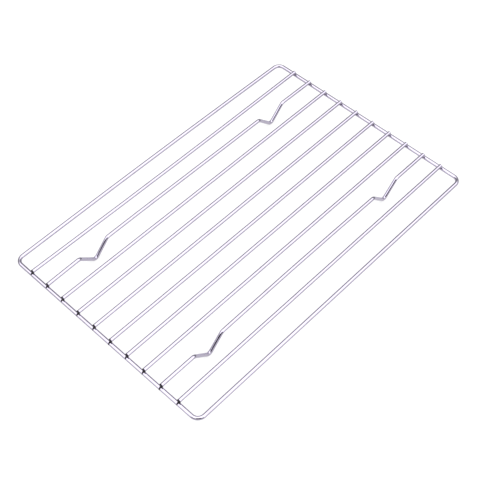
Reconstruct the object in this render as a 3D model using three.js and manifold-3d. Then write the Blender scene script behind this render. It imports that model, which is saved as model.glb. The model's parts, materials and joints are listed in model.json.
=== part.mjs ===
// Wire cooling rack: a closed ring of heavier wire, ten slat wires laid across it and welded on,
// two of them bent down into V-shaped feet. Millimetres, +Z up, X along the slats.
// The origin is on the surface that the rack stands on, under its middle.

import * as THREE from "three";
import { mergeVertices } from "three/addons/utils/BufferGeometryUtils.js";
import Module from "manifold-3d";

const wasm = await Module();
wasm.setup();

// Driving dimensions.
const RING_LENGTH = 380; // between the centrelines of the ring's short sides
const RING_WIDTH = 255; // between the centrelines of its long sides
const RING_WIRE = 4.2; // wire diameters
const SLAT_WIRE = 3.9;
const RING_CORNER_RADIUS = 7.8; // on the centreline
const SLAT_COUNT = 10;
const SLAT_PITCH = 22.8;
const SLAT_END_INSET = 0.4; // from the centreline of the ring's short side
const FOOT_SLATS = [2, 9]; // counted from the front
const FOOT_SPACING = 255.6; // between the two feet of one slat
const FOOT_SHIFT = -1.8; // of both feet from the slat's middle, towards its left end
const FOOT_WIDTH = 37; // of the V, between the sharp corners of its centreline
const FOOT_SLOPE = Math.PI / 4; // of its legs below the slat
const FOOT_TOP_RADIUS = 5; // bends on the centreline
const FOOT_TIP_RADIUS = 4;

// The welds: a collar of flash squeezed out round each crossing.
const WELD_REACH_X = RING_WIRE / 2; // from the middle of the crossing, flush with the ring's side
const WELD_REACH_Y = 2.6;
const WELD_REACH_Z = 1.3;
const WELD_GAP = 0.3; // clearance of a collar to both of its wires
const SLAT_GAP = 0.05; // clearance of a slat to the ring it lies on

// How finely round shapes are divided.
const WIRE_SIDES = 12;
const CORNER_STEPS = 6;
const TOP_BEND_STEPS = 3;
const TIP_BEND_STEPS = 5; // odd, so that the foot stands on a level facet
const WELD_SIDES = 12;
const WELD_LEVELS = 6;

// The foot's depth, from the slat's centreline to the facet that the foot stands on: the V's
// sharp corner and the wire below it, less what the round tip and its level facet take off.
const TIP_OUTER_RADIUS = FOOT_TIP_RADIUS + SLAT_WIRE / 2;
const TIP_ROUNDING = FOOT_TIP_RADIUS * (1 / Math.cos(FOOT_SLOPE) - 1);
const TIP_FLATNESS = TIP_OUTER_RADIUS * (1 - Math.cos(FOOT_SLOPE / TIP_BEND_STEPS));
const FOOT_CORNER_DEPTH = (FOOT_WIDTH / 2) * Math.tan(FOOT_SLOPE);
const FOOT_DEPTH = FOOT_CORNER_DEPTH - TIP_ROUNDING - TIP_FLATNESS + SLAT_WIRE / 2;

// Heights, from the surface up.
const SLAT_Z = FOOT_DEPTH;
const RING_Z = SLAT_Z - SLAT_WIRE / 2 - SLAT_GAP - RING_WIRE / 2;
const WELD_Z = RING_Z + RING_WIRE / 2 + SLAT_GAP / 2;

const SLAT_END = RING_LENGTH / 2 - SLAT_END_INSET;

const chrome = new THREE.MeshStandardMaterial({ color: 0xd9d8de, roughness: 0.12, metalness: 1 });
const weldMetal = new THREE.MeshStandardMaterial({ color: 0xa8a4ac, roughness: 0.35, metalness: 1 });

// A wire's centreline, held as the stations where its section changes direction, each with the
// direction of the wire there. A long straight run needs no station between its two ends.
class Centreline extends THREE.Curve {
  constructor(stations) {
    super();
    this.stations = stations;
  }
  get steps() {
    return this.stations.length - 1;
  }
  stationAt(u) {
    return this.stations[Math.round(u * this.steps)];
  }
  getPointAt(u) {
    return this.stationAt(u).point.clone();
  }
  getTangentAt(u) {
    return this.stationAt(u).direction.clone();
  }
}

// Walks a wire through straight runs and round bends in one plane, and collects its stations.
// Angles are in radians from the plane's first axis.
class WireWalk {
  constructor(start, heading, across, up) {
    this.point = start.clone();
    this.heading = heading;
    this.across = across;
    this.up = up;
    this.stations = [];
    this.mark();
  }
  direction() {
    return this.across
      .clone()
      .multiplyScalar(Math.cos(this.heading))
      .addScaledVector(this.up, Math.sin(this.heading));
  }
  mark() {
    this.stations.push({ point: this.point.clone(), direction: this.direction() });
  }
  run(length) {
    this.point.addScaledVector(this.direction(), length);
    this.mark();
    return this;
  }
  bend(angle, radius, steps) {
    const stepAngle = angle / steps;
    const chord = 2 * radius * Math.sin(Math.abs(stepAngle) / 2);
    for (let i = 0; i < steps; i += 1) {
      this.heading += stepAngle / 2;
      this.point.addScaledVector(this.direction(), chord);
      this.heading += stepAngle / 2;
      this.mark();
    }
    return this;
  }
  centreline() {
    return new Centreline(this.stations);
  }
}

// The section of a wire: a regular polygon whose flats are one wire radius from its middle, with
// a flat on each side, top and bottom.
function wireSection(diameter) {
  const corner = diameter / 2 / Math.cos(Math.PI / WIRE_SIDES);
  const points = [];
  for (let i = 0; i < WIRE_SIDES; i += 1) {
    const angle = ((i + 0.5) * 2 * Math.PI) / WIRE_SIDES;
    points.push(new THREE.Vector2(corner * Math.cos(angle), corner * Math.sin(angle)));
  }
  return new THREE.Shape(points);
}

function wireGeometry(centreline, diameter) {
  return new THREE.ExtrudeGeometry(wireSection(diameter), {
    steps: centreline.steps,
    extrudePath: centreline,
  });
}

function straightWire(from, to, diameter) {
  const direction = to.clone().sub(from).normalize();
  const ends = [from, to].map((point) => ({ point, direction }));
  return wireGeometry(new Centreline(ends), diameter);
}

function solidOf(geometry) {
  const bare = geometry.clone();
  bare.deleteAttribute("normal");
  bare.deleteAttribute("uv");
  const merged = mergeVertices(bare);
  return new wasm.Manifold(
    new wasm.Mesh({
      numProp: 3,
      vertProperties: merged.attributes.position.array,
      triVerts: new Uint32Array(merged.index.array),
    }),
  );
}

function geometryOf(solid) {
  const mesh = solid.getMesh();
  return new THREE.BufferGeometry()
    .setAttribute("position", new THREE.BufferAttribute(mesh.vertProperties, 3))
    .setIndex(new THREE.BufferAttribute(mesh.triVerts, 1));
}

function namedMesh(name, geometry, material) {
  const mesh = new THREE.Mesh(geometry, material);
  mesh.name = name;
  return mesh;
}

// Half of the ring: a U from the middle of one long side, round one short side, to the middle of
// the other long side. The back half is the same U turned round.
function ringHalf(turn) {
  const sideRun = RING_LENGTH / 2 - RING_CORNER_RADIUS;
  const endRun = RING_WIDTH - 2 * RING_CORNER_RADIUS;
  const across = new THREE.Vector3(Math.cos(turn), Math.sin(turn), 0);
  const up = new THREE.Vector3(-Math.sin(turn), Math.cos(turn), 0);
  const start = up.clone().multiplyScalar(-RING_WIDTH / 2);
  const walk = new WireWalk(start, 0, across, up)
    .run(sideRun)
    .bend(Math.PI / 2, RING_CORNER_RADIUS, CORNER_STEPS)
    .run(endRun)
    .bend(Math.PI / 2, RING_CORNER_RADIUS, CORNER_STEPS)
    .run(sideRun);
  return solidOf(wireGeometry(walk.centreline(), RING_WIRE));
}

// The closed ring, butt-welded end to end.
function frameRing() {
  const ring = ringHalf(0).add(ringHalf(Math.PI));
  const mesh = namedMesh("frame_ring", geometryOf(ring), chrome.clone());
  mesh.position.z = RING_Z;
  return mesh;
}

// A slat along X through the origin.
function slatGeometry() {
  const end = new THREE.Vector3(SLAT_END, 0, 0);
  return straightWire(end.clone().negate(), end, SLAT_WIRE);
}

// How far the sharp corner of a bend lies ahead of where the bend starts.
function setback(angle, radius) {
  return radius * Math.tan(angle / 2);
}

// A slat with two V-shaped feet, along X through the origin.
function footSlatGeometry() {
  const halfWidth = FOOT_WIDTH / 2;
  const legLength = halfWidth / Math.cos(FOOT_SLOPE);
  const topSetback = setback(FOOT_SLOPE, FOOT_TOP_RADIUS);
  const tipSetback = setback(2 * FOOT_SLOPE, FOOT_TIP_RADIUS);
  const leftRun = SLAT_END + FOOT_SHIFT - FOOT_SPACING / 2 - halfWidth - topSetback;
  const rightRun = SLAT_END - FOOT_SHIFT - FOOT_SPACING / 2 - halfWidth - topSetback;
  const middleRun = FOOT_SPACING - FOOT_WIDTH - 2 * topSetback;
  const legRun = legLength - topSetback - tipSetback;
  const across = new THREE.Vector3(1, 0, 0);
  const up = new THREE.Vector3(0, 0, 1);
  const walk = new WireWalk(new THREE.Vector3(-SLAT_END, 0, 0), 0, across, up).run(leftRun);
  for (const nextRun of [middleRun, rightRun]) {
    walk
      .bend(-FOOT_SLOPE, FOOT_TOP_RADIUS, TOP_BEND_STEPS)
      .run(legRun)
      .bend(2 * FOOT_SLOPE, FOOT_TIP_RADIUS, TIP_BEND_STEPS)
      .run(legRun)
      .bend(-FOOT_SLOPE, FOOT_TOP_RADIUS, TOP_BEND_STEPS)
      .run(nextRun);
  }
  return wireGeometry(walk.centreline(), SLAT_WIRE);
}

// The collar of flash round one crossing, centred where slat and ring meet: a flattened ball
// less the room that the two wires take.
function weldGeometry() {
  const reach = 2 * WELD_REACH_Y;
  const slatRoom = straightWire(
    new THREE.Vector3(-reach, 0, SLAT_Z - WELD_Z),
    new THREE.Vector3(reach, 0, SLAT_Z - WELD_Z),
    SLAT_WIRE + 2 * WELD_GAP,
  );
  const ringRoom = straightWire(
    new THREE.Vector3(0, -reach, RING_Z - WELD_Z),
    new THREE.Vector3(0, reach, RING_Z - WELD_Z),
    RING_WIRE + 2 * WELD_GAP,
  );
  const ball = new THREE.SphereGeometry(1, WELD_SIDES, WELD_LEVELS);
  ball.rotateX(Math.PI / 2);
  ball.scale(WELD_REACH_X, WELD_REACH_Y, WELD_REACH_Z);
  return geometryOf(solidOf(ball).subtract(solidOf(slatRoom)).subtract(solidOf(ringRoom)));
}

const rack = new THREE.Group();
rack.add(frameRing());

const slat = slatGeometry();
const footSlat = footSlatGeometry();
const weld = weldGeometry();
for (let number = 1; number <= SLAT_COUNT; number += 1) {
  const y = (number - (SLAT_COUNT + 1) / 2) * SLAT_PITCH;
  const label = String(number).padStart(2, "0");
  const footed = FOOT_SLATS.includes(number);
  const wire = footed
    ? namedMesh(`foot_wire_${label}`, footSlat, chrome.clone())
    : namedMesh(`slat_wire_${label}`, slat, chrome.clone());
  wire.position.set(0, y, SLAT_Z);
  rack.add(wire);
  for (const [side, x] of [["left", -RING_LENGTH / 2], ["right", RING_LENGTH / 2]]) {
    const collar = namedMesh(`weld_${side}_${label}`, weld, weldMetal.clone());
    collar.position.set(x, y, WELD_Z);
    rack.add(collar);
  }
}

export default rack;
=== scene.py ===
"""The looks of a wire cooling rack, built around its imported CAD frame.

Every wire is a swept tube with the small bows of real straightened wire and sheared ends, and
every crossing gets its own bead of weld. Metres, in the CAD model's frame: X along the slats,
Y across them, Z up.
"""

import json
import math
import random

import bmesh
import bpy
from mathutils import Matrix, Vector


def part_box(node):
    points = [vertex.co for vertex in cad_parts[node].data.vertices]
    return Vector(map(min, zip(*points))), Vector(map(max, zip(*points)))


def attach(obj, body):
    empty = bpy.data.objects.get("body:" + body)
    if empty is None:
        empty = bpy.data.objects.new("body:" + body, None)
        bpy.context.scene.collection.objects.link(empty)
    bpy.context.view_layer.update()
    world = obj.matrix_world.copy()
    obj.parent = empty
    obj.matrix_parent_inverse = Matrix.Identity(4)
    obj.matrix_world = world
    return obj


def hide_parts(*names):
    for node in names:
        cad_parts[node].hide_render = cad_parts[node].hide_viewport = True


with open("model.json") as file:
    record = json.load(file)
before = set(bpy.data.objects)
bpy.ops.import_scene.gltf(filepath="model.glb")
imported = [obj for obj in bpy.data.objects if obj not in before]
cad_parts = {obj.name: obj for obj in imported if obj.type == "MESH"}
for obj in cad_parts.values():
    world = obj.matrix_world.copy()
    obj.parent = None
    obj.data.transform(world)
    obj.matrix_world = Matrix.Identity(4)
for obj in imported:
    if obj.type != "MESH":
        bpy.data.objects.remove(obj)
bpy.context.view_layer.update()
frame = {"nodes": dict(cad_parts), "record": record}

MM = 0.001
SEED = 11

# The bends of the foot wires and of the ring, on their centrelines, as the CAD wires have them.
FOOT_SLOPE = math.radians(45)
FOOT_TOP_RADIUS = 5 * MM
FOOT_TIP_RADIUS = 4 * MM
RING_CORNER_RADIUS = 7.8 * MM

# How finely the tubes are divided.
TUBE_SIDES = 28
STRAIGHT_STEP = 7 * MM
BEND_STEP = math.radians(5)
FEWEST_BEND_STEPS = 4

# The small faults of straightened wire. The known bows are those that can be seen, sideways, in
# one, two and three half-waves; the others are random, up to SLAT_BOW.
SLAT_BOW = 0.25 * MM
KNOWN_BOWS = {
    "foot_wire_02": (0.7 * MM, 0.0, -0.2 * MM),
    "foot_wire_09": (1.5 * MM, 0.4 * MM, 0.2 * MM),
    "slat_wire_10": (-0.8 * MM, 0.0, 0.0),
}
RING_BACK_BOW = 1.1 * MM
WAVE_HEIGHT = 0.035 * MM
WAVE_LENGTH = 74 * MM
BEND_FLATTENING = 0.025
CUT_TILT = math.radians(4)

# The photograph's viewpoint: where the lens points, from the middle of the rack, and from where.
CAMERA_AIM = (-23.5 * MM, -17.7 * MM)
CAMERA_AZIMUTH = math.radians(-44.35)
CAMERA_ELEVATION = math.radians(52.77)
CAMERA_ROLL = math.radians(-2.0)
CAMERA_DISTANCE = 1.009
CAMERA_LENS = 76.54
CAMERA_SENSOR = 36

chance = random.Random(SEED)


# ---------------------------------------------------------------- what the frame says

def middle(node):
    low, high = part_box(node)
    return (low + high) / 2


def wire_radius(node):
    low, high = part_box(node)
    return (high.y - low.y) / 2


NODES = sorted(frame["nodes"])
SLATS = [n for n in NODES if n.startswith("slat_wire_")]
FOOT_WIRES = [n for n in NODES if n.startswith("foot_wire_")]
WELDS = [n for n in NODES if n.startswith("weld_")]

ring_low, ring_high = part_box("frame_ring")
RING_RADIUS = (ring_high.z - ring_low.z) / 2
RING_Z = (ring_high.z + ring_low.z) / 2
RING_HALF_LENGTH = ring_high.x - RING_RADIUS
RING_HALF_WIDTH = ring_high.y - RING_RADIUS
SLAT_RADIUS = wire_radius(SLATS[0])
SLAT_Z = middle(SLATS[0]).z
SLAT_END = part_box(SLATS[0])[1].x
MOUNTS = {m["name"]: Vector(m["pos_m"]) for m in frame["record"]["mounts"]}
FOOT_CENTRES = [MOUNTS["foot_front_left"].x, MOUNTS["foot_front_right"].x]


# ---------------------------------------------------------------- centrelines

class Walk:
    """A wire's centreline in one plane, walked through straight runs and round bends."""

    def __init__(self, start, heading, across, up):
        self.point = start.copy()
        self.heading = heading
        self.across = across
        self.up = up
        self.along = 0.0
        self.stations = []
        self.mark(0.0)

    def direction(self):
        return self.across * math.cos(self.heading) + self.up * math.sin(self.heading)

    def mark(self, bent):
        self.stations.append({
            "point": self.point.copy(),
            "tangent": self.direction(),
            "along": self.along,
            "bent": bent,
        })

    def run(self, length):
        steps = max(1, math.ceil(length / STRAIGHT_STEP))
        for _ in range(steps):
            self.point += self.direction() * (length / steps)
            self.along += length / steps
            self.mark(0.0)

    def bend(self, angle, radius):
        steps = max(FEWEST_BEND_STEPS, math.ceil(abs(angle) / BEND_STEP))
        turn = angle / steps
        chord = 2 * radius * math.sin(abs(turn) / 2)
        for i in range(steps):
            self.heading += turn / 2
            self.point += self.direction() * chord
            self.heading += turn / 2
            self.along += radius * abs(turn)
            self.mark(math.sin(math.pi * (i + 1) / steps))


def setback(angle, radius):
    """How far the sharp corner of a bend lies ahead of where the bend starts."""
    return radius * math.tan(angle / 2)


def slat_walk(y):
    walk = Walk(Vector((-SLAT_END, y, SLAT_Z)), 0.0, Vector((1, 0, 0)), Vector((0, 0, 1)))
    walk.run(2 * SLAT_END)
    return walk


def foot_wire_walk(y):
    """A slat with a V-shaped foot bent down at each of the two foot centres."""
    tip_rounding = FOOT_TIP_RADIUS * (1 / math.cos(FOOT_SLOPE) - 1)
    corner_depth = SLAT_Z - SLAT_RADIUS + tip_rounding
    half_width = corner_depth / math.tan(FOOT_SLOPE)
    top_setback = setback(FOOT_SLOPE, FOOT_TOP_RADIUS)
    tip_setback = setback(2 * FOOT_SLOPE, FOOT_TIP_RADIUS)
    leg_run = half_width / math.cos(FOOT_SLOPE) - top_setback - tip_setback
    left, right = FOOT_CENTRES
    reach = half_width + top_setback
    walk = Walk(Vector((-SLAT_END, y, SLAT_Z)), 0.0, Vector((1, 0, 0)), Vector((0, 0, 1)))
    walk.run(left - reach + SLAT_END)
    for next_run in (right - left - 2 * reach, SLAT_END - right - reach):
        walk.bend(-FOOT_SLOPE, FOOT_TOP_RADIUS)
        walk.run(leg_run)
        walk.bend(2 * FOOT_SLOPE, FOOT_TIP_RADIUS)
        walk.run(leg_run)
        walk.bend(-FOOT_SLOPE, FOOT_TOP_RADIUS)
        walk.run(next_run)
    return walk


def ring_walk():
    """Once round the ring, from the middle of its front side back to there."""
    walk = Walk(Vector((0, -RING_HALF_WIDTH, RING_Z)), 0.0, Vector((1, 0, 0)), Vector((0, 1, 0)))
    long_run = 2 * (RING_HALF_LENGTH - RING_CORNER_RADIUS)
    short_run = 2 * (RING_HALF_WIDTH - RING_CORNER_RADIUS)
    for run in (long_run / 2, short_run, long_run, short_run):
        walk.run(run)
        walk.bend(math.pi / 2, RING_CORNER_RADIUS)
    walk.run(long_run / 2)
    return walk


def add_faults(stations, bows, bow_up, side):
    """Moves a centreline by a millimetre or so: sideways bows of one and more half-waves, a bow
    upwards, and the short wave that a wire straightener leaves."""
    length = stations[-1]["along"]
    phase = chance.uniform(0, 2 * math.pi)
    for station in stations:
        share = math.pi * station["along"] / length
        held = math.sin(share)
        wave = WAVE_HEIGHT * held * math.sin(2 * math.pi * station["along"] / WAVE_LENGTH + phase)
        bow = sum(bows[i] * math.sin((i + 1) * share) for i in range(len(bows)))
        station["point"] += side * (bow + wave) + Vector((0, 0, bow_up * held))


def bow_ring_back(stations):
    """Bulges the ring's back side outwards between its corners."""
    for station in stations:
        point = station["point"]
        along = math.cos(math.pi / 2 * point.x / RING_HALF_LENGTH)
        on_back = min(1.0, max(0.0, 1 - (RING_HALF_WIDTH - point.y) / RING_CORNER_RADIUS))
        point.y += RING_BACK_BOW * along * on_back


# ---------------------------------------------------------------- meshes and pieces

def smooth_mesh(name, points, faces):
    mesh = bpy.data.meshes.new(name)
    mesh.from_pydata(points, [], faces)
    mesh.polygons.foreach_set("use_smooth", [True] * len(mesh.polygons))
    return mesh


def add_numbers(mesh, name, numbers):
    """Gives every vertex a number that a material can read."""
    mesh.attributes.new(name, "FLOAT", "POINT").data.foreach_set("value", numbers)


def add_vectors(mesh, name, vectors):
    """Gives every vertex a vector that a material can read."""
    flat = [x for vector in vectors for x in vector]
    mesh.attributes.new(name, "FLOAT_VECTOR", "POINT").data.foreach_set("vector", flat)


def link(name, mesh, material):
    thing = bpy.data.objects.new(name, mesh)
    bpy.context.scene.collection.objects.link(thing)
    mesh.materials.append(material)
    return thing


def add_piece(name, mesh, material, node):
    """One fine piece, in place of the CAD node that it stands for."""
    mesh.validate()
    mesh.update()
    piece = link(name, mesh, material)
    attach(piece, "root")
    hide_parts(node)


# ---------------------------------------------------------------- tubes

# The rings that close a sheared end: how far back from the end, and how much of the radius.
END_RINGS = [(0.1 * MM, 0.97), (0.0, 0.88), (0.03 * MM, 0.5), (0.06 * MM, 0.2)]

# How far back from its end a wire is painted near-black, as painted shade of the crook under the end;
# the band is wider at the left ends.
LEFT_END_SHADE = 0.8 * MM
RIGHT_END_SHADE = 0.15 * MM
END_SHADE_FADE = 0.25 * MM


class TubeBuilder:
    """Collects a tube's vertices, its faces, and what its material reads at each vertex: where that
    is on the straightened wire, and whether it is on the sheared end or on the band back from it that
    is painted near-black as shade."""

    def __init__(self, sides, radius):
        self.sides = sides
        self.radius = radius
        self.points = []
        self.faces = []
        self.wire = []
        self.cut = []

    def ring(self, station, side, radius, cut):
        """One section, squeezed a little across the plane of a bend."""
        up = station["tangent"].cross(side).normalized()
        squeeze = BEND_FLATTENING * station["bent"]
        first = len(self.points)
        for i in range(self.sides):
            angle = 2 * math.pi * i / self.sides
            offset = side * (math.cos(angle) * (1 + squeeze))
            offset += up * (math.sin(angle) * (1 - squeeze))
            self.points.append(station["point"] + offset * radius)
            around = (self.radius * math.cos(angle), self.radius * math.sin(angle))
            self.wire.append((*around, station["along"]))
            self.cut.append(cut)
        return first

    def skin(self, a, b):
        """Joins one section to the next."""
        for i in range(self.sides):
            j = (i + 1) % self.sides
            self.faces.append((a + i, a + j, b + j, b + i))

    def cap(self, ring, centre, along, at_start):
        """Closes an end with a fan of triangles."""
        tip = len(self.points)
        self.points.append(centre)
        self.wire.append((0.0, 0.0, along))
        self.cut.append(1.0)
        for i in range(self.sides):
            j = (i + 1) % self.sides
            edge = (ring + j, ring + i) if at_start else (ring + i, ring + j)
            self.faces.append((*edge, tip))


def end_stations(station, outward, painted_shade):
    """The sections that close a wire's end, sheared at a slight tilt, from the wire outwards. Each
    comes with its share of the radius, and whether it is on the near-black end: the sheared end and a
    band back from it, painted as shade."""
    tilt = Matrix.Rotation(chance.uniform(-CUT_TILT, CUT_TILT), 3, "Y")
    tilt = Matrix.Rotation(chance.uniform(-CUT_TILT, CUT_TILT), 3, "Z") @ tilt
    # From the second section on, the end and the band back from it are painted near-black as shade.
    rings = [(painted_shade + END_SHADE_FADE, 1.0), (painted_shade, 1.0)] + END_RINGS
    made = []
    for depth, (back, share) in enumerate(rings):
        blend = min(1.0, depth / 2)
        tangent = station["tangent"].lerp(tilt @ station["tangent"], blend).normalized()
        point = station["point"] - outward * back
        made.append(({**station, "point": point, "tangent": tangent}, share, depth > 0))
    return made


def tube_mesh(name, stations, side, radius, closed):
    tube = TubeBuilder(TUBE_SIDES, radius)
    if closed:
        rings = [tube.ring(s, side, radius, 0.0) for s in stations[:-1]]
        for a, b in zip(rings, rings[1:] + rings[:1]):
            tube.skin(a, b)
    else:
        start = end_stations(stations[0], -stations[0]["tangent"], LEFT_END_SHADE)
        finish = end_stations(stations[-1], stations[-1]["tangent"], RIGHT_END_SHADE)
        sections = list(reversed(start))
        sections += [(s, 1.0, False) for s in stations[1:-1]]
        sections += finish
        rings = [tube.ring(s, side, radius * share, float(cut)) for s, share, cut in sections]
        for a, b in zip(rings, rings[1:]):
            tube.skin(a, b)
        tube.cap(rings[0], start[-1][0]["point"], stations[0]["along"], True)
        tube.cap(rings[-1], finish[-1][0]["point"], stations[-1]["along"], False)
    mesh = smooth_mesh(name, tube.points, tube.faces)
    add_vectors(mesh, "wire", tube.wire)
    add_numbers(mesh, "cut", tube.cut)
    return mesh


# ---------------------------------------------------------------- welds

# How finely a bead is divided: round the crossing, and from the slat down to the ring.
WELD_AROUND = 48
WELD_ACROSS = 9

WELD_CENTRE_BACK = 0.9 * MM  # from the slat's end to the bead's middle
WELD_CLIMB = 1.0 * MM  # up the slat's end face
WELD_THICKNESS = 0.28 * MM
WELD_WAIST = 0.85  # of the bead's smaller reach, between slat and ring
WELD_SINK = 0.12 * MM  # of the bead's edges and core into the wires
WELD_CORE = 0.3 * MM
WELD_SQUARENESS = 3.0  # 2 is round

# The bead's uneven rim: waves round it, each with a random count, phase and share.
WELD_UNEVENNESS = 0.12
RIM_WAVES = 4
RIM_WAVE_COUNTS = (2, 7)
RIM_WAVE_SHARES = (0.3, 1.0)

# The flash on the ring, half its width, on the slat's end side and on the rack's middle side, and
# how far it reaches on the slat. The left welds are narrower.
FLASH_OUTER_HALF = 1.6 * MM
FLASH_INNER_HALF = 2.1 * MM
FLASH_ON_SLAT = 0.7 * MM
LEFT_FLASH_SHARE = 0.78
SIDE_SHARE = 0.98  # of a wire's radius, as far round its side as flash can reach


def rounded_reach(c, s, reach_x, reach_y):
    """The radius of a rounded rectangle in one direction."""
    spread = (abs(c) / reach_x) ** WELD_SQUARENESS + (abs(s) / reach_y) ** WELD_SQUARENESS
    return spread ** (-1 / WELD_SQUARENESS)


def drop(radius, offset):
    """How far a round wire's surface has fallen away at an offset from its top or bottom."""
    offset = min(abs(offset), radius * SIDE_SHARE)
    return radius - math.sqrt(radius**2 - offset**2)


def rim_wave():
    count = chance.randint(*RIM_WAVE_COUNTS)
    phase = chance.uniform(0, 2 * math.pi)
    share = chance.uniform(*RIM_WAVE_SHARES)
    return count, phase, share


def weld_section(angle, outer, uneven, narrow):
    """The bead's outline in one direction from its middle, from the slat's underside or end face
    down over the ring and back through the metal. Outwards, across and up from the crossing."""
    c, s = math.cos(angle), math.sin(angle)
    centre = SLAT_END - WELD_CENTRE_BACK - RING_HALF_LENGTH
    side = RING_RADIUS * SIDE_SHARE - math.copysign(1, c) * centre
    half = (FLASH_INNER_HALF + (FLASH_OUTER_HALF - FLASH_INNER_HALF) * outer) * narrow
    on_ring = rounded_reach(c, s, side, half) * uneven
    end_reach = WELD_CENTRE_BACK if c > 0 else FLASH_ON_SLAT
    on_slat = rounded_reach(c, s, end_reach, FLASH_ON_SLAT) * uneven
    waist = WELD_WAIST * min(on_slat, on_ring)
    ring_axis = Vector((0, -RING_RADIUS))
    outline = []
    for k in range(WELD_ACROSS):
        t = k / (WELD_ACROSS - 1)
        reach = (1 - t) ** 2 * on_slat + 2 * t * (1 - t) * waist + t**2 * on_ring
        on_top = drop(SLAT_RADIUS, reach * s) + WELD_CLIMB * max(0.0, c)
        on_low = -drop(RING_RADIUS, centre + reach * c) - WELD_SINK * t
        height = (1 - t) ** 2 * on_top + (1 - (1 - t) ** 2) * on_low
        place = Vector((centre + reach * c, height))
        place += (place - ring_axis).normalized() * (WELD_THICKNESS * 4 * t * (1 - t))
        outline.append(Vector((place.x, reach * s, place.y)))
    for height in (-WELD_SINK, WELD_SINK):
        outline.append(Vector((centre + WELD_CORE * c, WELD_CORE * s, height)))
    return outline


def weld_mesh(name, ring_top, outward):
    """A bead of flash all round one crossing, painted near-black as shade on the slat's end side."""
    waves = [rim_wave() for _ in range(RIM_WAVES)]
    narrow = LEFT_FLASH_SHARE if outward < 0 else 1.0
    loop = WELD_ACROSS + 2
    points = []
    painted_shade = []
    faces = []
    for i in range(WELD_AROUND):
        angle = 2 * math.pi * i / WELD_AROUND
        outer = min(1.0, max(0.0, 0.5 + math.cos(angle)))
        rough = sum(share * math.sin(count * angle + phase) for count, phase, share in waves)
        section = weld_section(angle, outer, 1 + WELD_UNEVENNESS * rough / 2, narrow)
        points += [ring_top + Vector((outward * p.x, p.y, p.z)) for p in section]
        # Painted shade: the bead's slat-end side is marked to go near-black.
        painted_shade += [outer] * loop
        j = (i + 1) % WELD_AROUND
        for k in range(loop):
            m = (k + 1) % loop
            face = (i * loop + k, i * loop + m, j * loop + m, j * loop + k)
            faces.append(face if outward > 0 else tuple(reversed(face)))
    mesh = smooth_mesh(name, points, faces)
    add_numbers(mesh, "painted_shade", painted_shade)
    return mesh


# ---------------------------------------------------------------- materials

class Nodes:
    """A small helper for building a node tree."""

    def __init__(self, tree):
        self.tree = tree
        tree.nodes.clear()

    def add(self, kind, **settings):
        node = self.tree.nodes.new(kind)
        for key, value in settings.items():
            setattr(node, key, value)
        return node

    def put(self, node, socket, value):
        """Links or sets one input."""
        if isinstance(value, bpy.types.NodeSocket):
            self.tree.links.new(value, node.inputs[socket])
        else:
            node.inputs[socket].default_value = value

    def math(self, operation, a, b):
        node = self.add("ShaderNodeMath", operation=operation)
        self.put(node, 0, a)
        self.put(node, 1, b)
        return node.outputs[0]

    def ramp(self, value, low, high):
        """0 at low, 1 at high, and smooth between them. Low may be the higher number."""
        node = self.add("ShaderNodeMapRange", interpolation_type="SMOOTHSTEP")
        self.put(node, "Value", value)
        self.put(node, "From Min", low)
        self.put(node, "From Max", high)
        return node.outputs[0]

    def mix(self, share, a, b):
        """Blends two numbers."""
        node = self.add("ShaderNodeMix", data_type="FLOAT")
        self.put(node, 0, share)
        self.put(node, 2, a)
        self.put(node, 3, b)
        return node.outputs[0]

    def mix_colour(self, share, a, b):
        """Blends two colours."""
        node = self.add("ShaderNodeMix", data_type="RGBA")
        self.put(node, 0, share)
        self.put(node, 6, a)
        self.put(node, 7, b)
        return node.outputs[2]

    def noise(self, vector, scale, detail, roughness):
        node = self.add("ShaderNodeTexNoise")
        self.put(node, "Vector", vector)
        self.put(node, "Scale", scale)
        self.put(node, "Detail", detail)
        self.put(node, "Roughness", roughness)
        return node.outputs[0]

    def stretched(self, vector, scale):
        node = self.add("ShaderNodeMapping")
        self.put(node, "Vector", vector)
        self.put(node, "Scale", scale)
        return node.outputs[0]

    def vector_math(self, operation, a, b, output):
        node = self.add("ShaderNodeVectorMath", operation=operation)
        self.put(node, 0, a)
        if b is not None:
            self.put(node, 1, b)
        return node.outputs[output]

    def dot(self, a, b):
        return self.vector_math("DOT_PRODUCT", a, b, "Value")

    def unit(self, vector):
        return self.vector_math("NORMALIZE", vector, None, "Vector")

    def part(self, vector, axis):
        """One of a vector's three numbers."""
        node = self.add("ShaderNodeSeparateXYZ")
        self.put(node, 0, vector)
        return node.outputs["XYZ".index(axis)]

    def place(self):
        """Where a point is, in its object's space."""
        return self.add("ShaderNodeTexCoord").outputs["Object"]

    def attribute(self, name, output):
        node = self.add("ShaderNodeAttribute", attribute_name=name)
        return node.outputs[output]

    def bump(self, height, relief, normal=None):
        """A relief is a depth and a strength."""
        node = self.add("ShaderNodeBump")
        self.put(node, "Height", height)
        self.put(node, "Distance", relief[0])
        self.put(node, "Strength", relief[1])
        if normal is not None:
            self.put(node, "Normal", normal)
        return node.outputs[0]


def new_material(name):
    material = bpy.data.materials.new(name)
    material.use_nodes = True
    return material, Nodes(material.node_tree)


SPECULAR = 0.1  # faint, on whatever isn't metal


def finish_material(nodes, colour, metallic, roughness, normal, glow=0.0):
    shader = nodes.add("ShaderNodeBsdfPrincipled")
    nodes.put(shader, "Specular IOR Level", SPECULAR)
    nodes.put(shader, "Emission Color", (1, 1, 1, 1))
    nodes.put(shader, "Emission Strength", glow)
    nodes.put(shader, "Base Color", colour)
    nodes.put(shader, "Metallic", metallic)
    nodes.put(shader, "Roughness", roughness)
    nodes.put(shader, "Normal", normal)
    output = nodes.add("ShaderNodeOutputMaterial")
    nodes.put(output, "Surface", shader.outputs[0])


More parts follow.
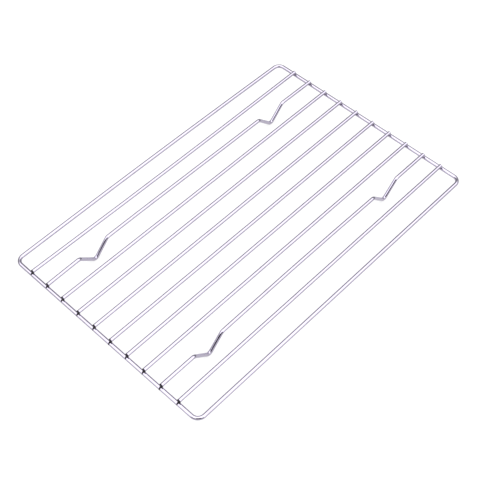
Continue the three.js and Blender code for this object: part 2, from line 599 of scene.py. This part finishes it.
PLATING = (0.42, 0.39, 0.48, 1)
PLATING_THIN = (0.385, 0.355, 0.435, 1)
# The ends' colours: sheared steel, darkened to near-black as painted shade of the crook under each
# end.
END_STEEL_AND_SHADE = (0.05, 0.042, 0.052, 1)
END_PAINTED_SHADE = (0.008, 0.007, 0.009, 1)
# The bead's tone: duller plated flash, darkened as painted shade of the crook between slat and ring.
WELD_STEEL_AND_SHADE = (0.17, 0.145, 0.18, 1)
WELD_PITTED_AND_SHADE = (0.09, 0.075, 0.09, 1)
# Painted shade of the crook under the slat's end: near-black, with lighter flecks.
WELD_PAINTED_SHADE = (0.012, 0.01, 0.012, 1)
WELD_PAINTED_SHADE_FLECKS = (0.06, 0.052, 0.062, 1)
WORN_STEEL = (0.11, 0.09, 0.12, 1)

# How rough each kind of surface is.
POLISHED = 0.03
DULLED = 0.08
WORN = 0.38
SHEARED = 0.5
WELD_SMOOTH = 0.28
WELD_ROUGH = 0.5

# What each kind of mark is made of: grains per metre, levels of finer grains, and how strong each
# finer level is next to the one before.
DIE_LINES = (5200, 3.0, 0.6)
ORANGE_PEEL = (1700, 2.0, 0.5)
HANDLING = (55, 4.0, 0.6)
SHEAR_MARKS = (5200, 3.0, 0.5)
PITS = (2600, 4.0, 0.65)
PITTING = (900, 2.0, 0.5)

# How far some marks are drawn out along Z, which is along the wire on a wire's own coordinates.
DIE_LINE_STRETCH = (1, 1, 0.006)
SHEAR_STRETCH = (1, 1, 0.15)

# The heights of a noise, which is 0.5 on average, where each kind of patch begins and is complete.
DULL_PATCHES = (0.52, 0.72)
WORN_PATCHES = (0.35, 0.6)
BARE_SHEAR = (0.45, 0.7)
PITTED_PATCHES = (0.42, 0.62)
SHADE_FLECKS = (0.45, 0.65)

# How high bare steel reaches on a worn foot, and where the wear is complete.
FOOT_WEAR_TOP = 0.55 * MM
FOOT_WEAR_FULL = 0.1 * MM

# How deep each relief would be at full strength, and its strength.
DIE_LINE_RELIEF = (1.0 * MM, 0.006)
PEEL_RELIEF = (1.0 * MM, 0.004)
SHEAR_RELIEF = (0.3 * MM, 0.4)
PIT_RELIEF = (0.3 * MM, 0.8)

SHADE_RANGE = (0.45, 0.85)  # of the painted-shade share, from where to where the painted shade grows
SHADE_SPREAD = 0.2  # of the painted shade into the pitted patches
SHADE_DULLING = 0.6  # of the metal under full painted shade


def plated_wire():
    """Bright plating over drawn wire: die lines along it, a faint orange peel, dull patches from
    handling, worn feet, and near-black ends: sheared steel on the end faces, darkened with painted
    shade of the crook on them and on a band back from them."""
    material, n = new_material("plated_wire")
    wire = n.attribute("wire", "Vector")
    cut = n.attribute("cut", "Fac")
    place = n.place()
    die_lines = n.noise(n.stretched(wire, DIE_LINE_STRETCH), *DIE_LINES)
    peel = n.noise(wire, *ORANGE_PEEL)
    patches = n.ramp(n.noise(wire, *HANDLING), *DULL_PATCHES)
    low = n.ramp(n.part(place, "Z"), FOOT_WEAR_TOP, FOOT_WEAR_FULL)
    foot_wear = n.math("MULTIPLY", low, n.ramp(peel, *WORN_PATCHES))
    shear_marks = n.noise(n.stretched(place, SHEAR_STRETCH), *SHEAR_MARKS)
    # Painted shade: the end faces and a band back from them go near-black, standing for the crook's
    # shade.
    sheared = n.mix_colour(n.ramp(shear_marks, *BARE_SHEAR), END_PAINTED_SHADE, END_STEEL_AND_SHADE)
    colour = n.mix_colour(patches, PLATING, PLATING_THIN)
    colour = n.mix_colour(foot_wear, colour, WORN_STEEL)
    colour = n.mix_colour(cut, colour, sheared)
    roughness = n.mix(patches, POLISHED, DULLED)
    roughness = n.mix(foot_wear, roughness, WORN)
    roughness = n.mix(cut, roughness, SHEARED)
    normal = n.bump(die_lines, DIE_LINE_RELIEF)
    normal = n.bump(peel, PEEL_RELIEF, normal)
    normal = n.bump(n.math("MULTIPLY", shear_marks, cut), SHEAR_RELIEF, normal)
    finish_material(n, colour, n.math("SUBTRACT", 1.0, cut), roughness, normal)
    return material


def weld_bead():
    """Plated-over weld flash: duller than the wire and pitted, its dark tone partly the flash's own
    and partly painted shade of the crook, and near-black towards the slat's end as painted shade."""
    material, n = new_material("weld_bead")
    place = n.place()
    pits = n.noise(place, *PITS)
    pitted = n.ramp(n.noise(place, *PITTING), *PITTED_PATCHES)
    spread = n.math("MULTIPLY", pitted, SHADE_SPREAD)
    # Painted shade: near-black towards the slat's end, in flecks, with less metal sheen.
    painted_shade = n.ramp(n.math("ADD", n.attribute("painted_shade", "Fac"), spread), *SHADE_RANGE)
    shade_colour = n.mix_colour(n.ramp(pits, *SHADE_FLECKS), WELD_PAINTED_SHADE, WELD_PAINTED_SHADE_FLECKS)
    # The bead's dark tone is partly the flash's own and partly painted shade of the crook.
    colour = n.mix_colour(pitted, WELD_STEEL_AND_SHADE, WELD_PITTED_AND_SHADE)
    colour = n.mix_colour(painted_shade, colour, shade_colour)
    roughness = n.mix(pitted, WELD_SMOOTH, WELD_ROUGH)
    metallic = n.math("SUBTRACT", 1.0, n.math("MULTIPLY", painted_shade, SHADE_DULLING))
    finish_material(n, colour, metallic, roughness, n.bump(pits, PIT_RELIEF))
    return material


# ---------------------------------------------------------------- stage

# A pale table that glows a little, so that nothing on it throws a shadow. It glows more where the
# tent's grey walls stand.
FLOOR_SIZE = 12.0
FLOOR_GAP = 0.1 * MM
FLOOR_SHADE = 0.20
FLOOR_CLOUDED = 0.985  # of that shade
FLOOR_ROUGHNESS = 0.9
FLOOR_CLOUDS = (3.0, 3.0, 0.5)
FLOOR_GRAIN = (900, 2.0, 0.5)
FLOOR_RELIEF = (0.05 * MM, 0.1)
FLOOR_GLOW = 0.765
FLOOR_GLOW_AT_WALL = 0.95
WALL_NEARNESS = (0.6, 0.9)  # of the tent's radius, from where to where the glow grows

# The tent's parts, by their directions from its middle. The cap is round about its axis, but
# reaches further along X. Edges are sines, as CAP_EDGE is, or angles up from the horizon.
TENT_RADIUS = 1.8
TENT_SUBDIVISIONS = 5
CAP_AXIS = Vector((-0.36, -0.42, 1))
CAP_EDGE = 0.35
CAP_LONG = 0.12
CAP_SOFTNESS = 0.16
CAP_LIGHT = 2.7
WALL_LIGHT = 0.42
OPENING_LIGHT = 0.02
OPENING_RIM = math.radians(4)

# Azimuth, half width and top of the dark opening's low wide part and of the slit above it.
OPENING = (math.radians(-54), math.radians(46), math.radians(26))
OPENING_SLIT = (math.radians(-45), math.radians(15), math.radians(46))

# The white room round the tent: what lights the floor out there, and what the camera sees.
ROOM_LIGHT = 3.2
BACKDROP = 1.05


def grey(shade):
    return (shade, shade, shade, 1)


def pale_table():
    material, n = new_material("pale_table")
    place = n.place()
    cloud = n.noise(place, *FLOOR_CLOUDS)
    colour = n.mix_colour(cloud, grey(FLOOR_SHADE * FLOOR_CLOUDED), grey(FLOOR_SHADE))
    grain = n.bump(n.noise(place, *FLOOR_GRAIN), FLOOR_RELIEF)
    away = n.vector_math("LENGTH", place, None, "Value")
    at_wall = n.ramp(away, *(TENT_RADIUS * share for share in WALL_NEARNESS))
    glow = n.mix(at_wall, FLOOR_GLOW, FLOOR_GLOW_AT_WALL)
    finish_material(n, colour, 0.0, FLOOR_ROUGHNESS, grain, glow)
    return material


def make_floor():
    half = FLOOR_SIZE / 2
    corners = [(x * half, y * half, -FLOOR_GAP) for x, y in ((-1, -1), (1, -1), (1, 1), (-1, 1))]
    mesh = bpy.data.meshes.new("floor")
    mesh.from_pydata(corners, [], [(0, 1, 2, 3)])
    link("floor", mesh, pale_table())


def compass(azimuth):
    """The level direction towards an azimuth that is counted from -Y, as the camera's is."""
    return Vector((math.sin(azimuth), -math.cos(azimuth), 0))


def opening(n, flat, height, azimuth, half_width, top):
    """1 in the directions of an opening that stands on the horizon, 0 elsewhere."""
    facing = n.dot(flat, compass(azimuth))
    wide = n.ramp(facing, math.cos(half_width + 2 * OPENING_RIM), math.cos(half_width))
    low = n.ramp(height, math.sin(top + OPENING_RIM), math.sin(top))
    return n.math("MULTIPLY", wide, low)


def tent_cloth():
    """A wide bright cap overhead that leans to the front left, grey walls below its edge, and a
    dark opening that the camera looks in through, low and wide with a slit above."""
    material, n = new_material("tent_cloth")
    direction = n.unit(n.place())
    along = n.math("POWER", n.part(direction, "X"), 2.0)
    cap = n.math("ADD", n.dot(direction, CAP_AXIS.normalized()), n.math("MULTIPLY", along, CAP_LONG))
    light = n.mix(n.ramp(cap, CAP_EDGE, CAP_EDGE + CAP_SOFTNESS), WALL_LIGHT, CAP_LIGHT)
    flat = n.unit(n.vector_math("MULTIPLY", direction, (1, 1, 0), "Vector"))
    for shape in (OPENING, OPENING_SLIT):
        light = n.mix(opening(n, flat, n.part(direction, "Z"), *shape), light, OPENING_LIGHT)
    glow = n.add("ShaderNodeEmission")
    n.put(glow, "Strength", light)
    output = n.add("ShaderNodeOutputMaterial")
    n.put(output, "Surface", glow.outputs[0])
    return material


def make_tent():
    """A ball of cloth round the rack, which lights it but which the camera looks through."""
    ball = bmesh.new()
    bmesh.ops.create_icosphere(ball, subdivisions=TENT_SUBDIVISIONS, radius=TENT_RADIUS)
    mesh = bpy.data.meshes.new("tent")
    ball.to_mesh(mesh)
    ball.free()
    tent = link("tent", mesh, tent_cloth())
    tent.visible_camera = False


def make_room():
    world = bpy.data.worlds.new("room")
    bpy.context.scene.world = world
    world.use_nodes = True
    n = Nodes(world.node_tree)
    seen = n.add("ShaderNodeLightPath").outputs["Is Camera Ray"]
    background = n.add("ShaderNodeBackground")
    n.put(background, "Strength", n.mix(seen, ROOM_LIGHT, BACKDROP))
    n.put(background, "Color", grey(1))
    output = n.add("ShaderNodeOutputWorld")
    n.put(output, "Surface", background.outputs[0])
    bpy.context.scene.view_settings.view_transform = "Standard"


def make_camera():
    data = bpy.data.cameras.new("camera")
    data.lens = CAMERA_LENS
    data.sensor_width = CAMERA_SENSOR
    camera = bpy.data.objects.new("camera", data)
    bpy.context.scene.collection.objects.link(camera)
    back = Vector((
        math.sin(CAMERA_AZIMUTH) * math.cos(CAMERA_ELEVATION),
        -math.cos(CAMERA_AZIMUTH) * math.cos(CAMERA_ELEVATION),
        math.sin(CAMERA_ELEVATION),
    ))
    aim = Vector((*CAMERA_AIM, SLAT_Z))
    turn = (-back).to_track_quat("-Z", "Y").to_matrix() @ Matrix.Rotation(CAMERA_ROLL, 3, "Z")
    camera.matrix_world = Matrix.LocRotScale(aim + back * CAMERA_DISTANCE, turn.to_quaternion(), None)
    bpy.context.scene.camera = camera


# ---------------------------------------------------------------- the rack

def make_wires():
    plating = plated_wire()
    across = Vector((0, 1, 0))
    for node in SLATS + FOOT_WIRES:
        walk = foot_wire_walk(middle(node).y) if node in FOOT_WIRES else slat_walk(middle(node).y)
        bows = KNOWN_BOWS.get(node, [chance.uniform(-SLAT_BOW, SLAT_BOW)])
        add_faults(walk.stations, bows, chance.uniform(-SLAT_BOW, SLAT_BOW) / 2, across)
        mesh = tube_mesh(node + "_tube", walk.stations, across, SLAT_RADIUS, False)
        add_piece("fine_" + node, mesh, plating, node)
    ring = ring_walk()
    bow_ring_back(ring.stations)
    mesh = tube_mesh("ring_tube", ring.stations, Vector((0, 0, 1)), RING_RADIUS, True)
    add_piece("fine_frame_ring", mesh, plating, "frame_ring")


def make_welds():
    bead = weld_bead()
    contact_z = (RING_Z + RING_RADIUS + SLAT_Z - SLAT_RADIUS) / 2
    for node in WELDS:
        place = middle(node)
        outward = math.copysign(1, place.x)
        ring_top = Vector((outward * RING_HALF_LENGTH, place.y, contact_z))
        add_piece("fine_" + node, weld_mesh(node + "_bead", ring_top, outward), bead, node)


make_camera()
make_room()
make_tent()
make_floor()
make_wires()
make_welds()
